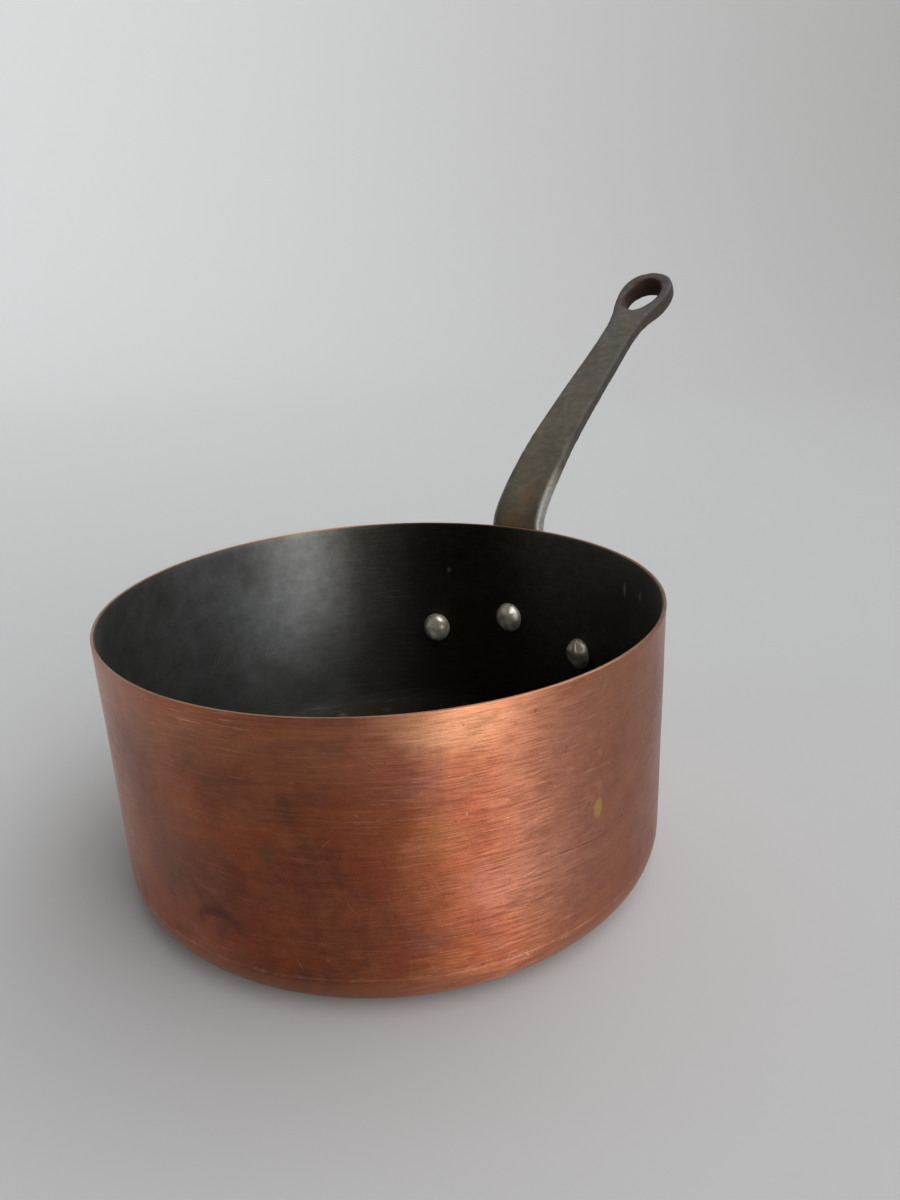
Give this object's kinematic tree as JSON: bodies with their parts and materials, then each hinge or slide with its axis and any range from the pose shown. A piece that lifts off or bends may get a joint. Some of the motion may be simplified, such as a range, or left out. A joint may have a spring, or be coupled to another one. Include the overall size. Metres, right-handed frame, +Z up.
{
  "type": "saucepan",
  "caption": "Straight-sided copper saucepan with a dark tin lining and a long cast-iron handle, riveted on, rising to a hanging eye.",
  "frame": {"origin": "centre of the flat base's underside, on the surface that the pan stands on", "axes": "+Z up along the body's axis, +X from the body's axis along the handle"},
  "size_m": [0.3041, 0.16, 0.163],
  "materials": {
    "copper": "satin brushed copper with tarnish, spots and fine scratches",
    "tin": "dark worn tin, satin",
    "cast_iron": "dark grey-brown cast iron, mottled, some rust at the root",
    "rivet_metal": "tinned rivets, worn to a warm grey"
  },
  "bodies": {
    "root": {"copper_body": "copper", "tin_lining": "tin", "handle": "cast_iron", "rivet_left": "rivet_metal", "rivet_center": "rivet_metal", "rivet_right": "rivet_metal"}
  },
  "joints": []
}
